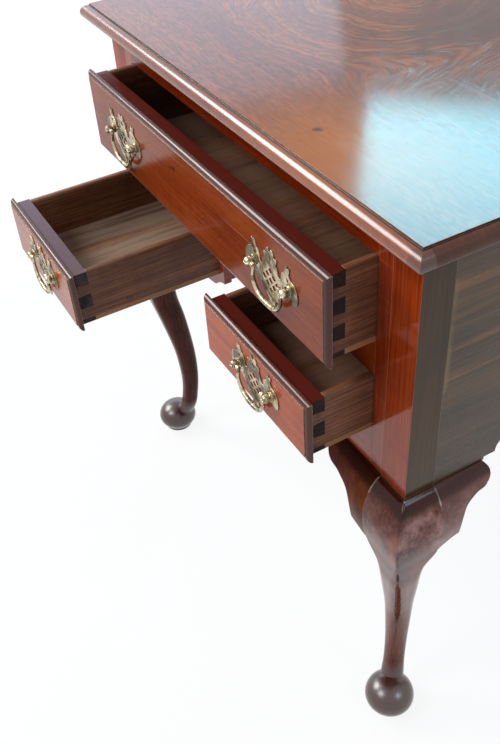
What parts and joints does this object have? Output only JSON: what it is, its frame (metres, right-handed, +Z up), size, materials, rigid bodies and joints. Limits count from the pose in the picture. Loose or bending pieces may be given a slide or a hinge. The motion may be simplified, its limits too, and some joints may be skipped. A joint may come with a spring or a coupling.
{
  "type": "lowboy",
  "caption": "Small mahogany lowboy on cabriole legs with pad feet, a long drawer over small drawers beside a kneehole, moulded top and pierced brass bail handles.",
  "frame": {"origin": "on the floor under the middle of the whole piece, with the drawers open as stored", "axes": "+X to the right as seen from the front, +Y to the back, +Z up; the drawers open towards -Y"},
  "size_m": [0.694, 0.6562, 0.73],
  "materials": {
    "top_mahogany": "polished",
    "case_mahogany": "satin",
    "leg_mahogany": "polished",
    "front_mahogany": "satin",
    "drawer_oak": "matte",
    "secondary_oak": "matte",
    "brass": "polished"
  },
  "bodies": {
    "case": {"top_board": "top_mahogany", "top_rail": "case_mahogany", "mid_rail": "case_mahogany", "kneehole_arch": "case_mahogany", "dustboard": "secondary_oak", "back_board": "secondary_oak", "side_left": "case_mahogany", "side_right": "case_mahogany", "front_strip_left": "case_mahogany", "front_strip_right": "case_mahogany", "apron_left": "case_mahogany", "apron_right": "case_mahogany", "partition_left": "case_mahogany", "partition_right": "case_mahogany", "leg_front_left": "leg_mahogany", "leg_front_right": "leg_mahogany", "leg_back_left": "leg_mahogany", "leg_back_right": "leg_mahogany", "knee_bracket_front_left": "leg_mahogany", "knee_bracket_front_right": "leg_mahogany", "knee_bracket_side_left": "leg_mahogany", "knee_bracket_side_right": "leg_mahogany", "knee_bracket_back_left": "leg_mahogany", "knee_bracket_back_right": "leg_mahogany", "runners": "secondary_oak", "drawer_guides": "secondary_oak", "kickers": "secondary_oak", "glue_blocks": "secondary_oak"},
    "top_drawer": {"top_drawer_front": "front_mahogany", "top_drawer_side_left": "drawer_oak", "top_drawer_side_right": "drawer_oak", "top_drawer_back": "drawer_oak", "top_drawer_bottom": "drawer_oak", "top_drawer_strips": "drawer_oak", "top_drawer_handle_posts": "brass", "top_drawer_handle_nuts": "brass", "handle_top_left_plate": "brass", "handle_top_right_plate": "brass"},
    "left_drawer": {"left_drawer_front": "front_mahogany", "left_drawer_side_left": "drawer_oak", "left_drawer_side_right": "drawer_oak", "left_drawer_back": "drawer_oak", "left_drawer_bottom": "drawer_oak", "left_drawer_strips": "drawer_oak", "left_drawer_handle_posts": "brass", "left_drawer_handle_nuts": "brass", "handle_left_plate": "brass"},
    "right_drawer": {"right_drawer_front": "front_mahogany", "right_drawer_side_left": "drawer_oak", "right_drawer_side_right": "drawer_oak", "right_drawer_back": "drawer_oak", "right_drawer_bottom": "drawer_oak", "right_drawer_strips": "drawer_oak", "right_drawer_handle_posts": "brass", "right_drawer_handle_nuts": "brass", "handle_right_plate": "brass"},
    "top_left_bail": {"handle_top_left_bail": "brass"},
    "top_right_bail": {"handle_top_right_bail": "brass"},
    "left_bail": {"handle_left_bail": "brass"},
    "right_bail": {"handle_right_bail": "brass"}
  },
  "joints": [
    {"name": "top_drawer_slide", "type": "slide", "parent": "case", "child": "top_drawer", "axis": [0, -1, 0], "range_m": [-0.0517, 0.243]},
    {"name": "left_drawer_slide", "type": "slide", "parent": "case", "child": "left_drawer", "axis": [0, -1, 0], "range_m": [-0.1847, 0.11]},
    {"name": "right_drawer_slide", "type": "slide", "parent": "case", "child": "right_drawer", "axis": [0, -1, 0], "range_m": [-0.0737, 0.221]},
    {"name": "top_left_bail_hinge", "type": "hinge", "parent": "top_drawer", "child": "top_left_bail", "pos_m": [-0.167, -0.1909, 0.62825], "axis": [-1, 0, 0], "range_deg": [-3.5, 176]},
    {"name": "top_right_bail_hinge", "type": "hinge", "parent": "top_drawer", "child": "top_right_bail", "pos_m": [0.175, -0.1909, 0.62825], "axis": [-1, 0, 0], "range_deg": [-3.5, 176]},
    {"name": "left_bail_hinge", "type": "hinge", "parent": "left_drawer", "child": "left_bail", "pos_m": [-0.15475, -0.3239, 0.5045], "axis": [-1, 0, 0], "range_deg": [-3.5, 176]},
    {"name": "right_bail_hinge", "type": "hinge", "parent": "right_drawer", "child": "right_bail", "pos_m": [0.16875, -0.2129, 0.5045], "axis": [-1, 0, 0], "range_deg": [-3.5, 176]}
  ]
}
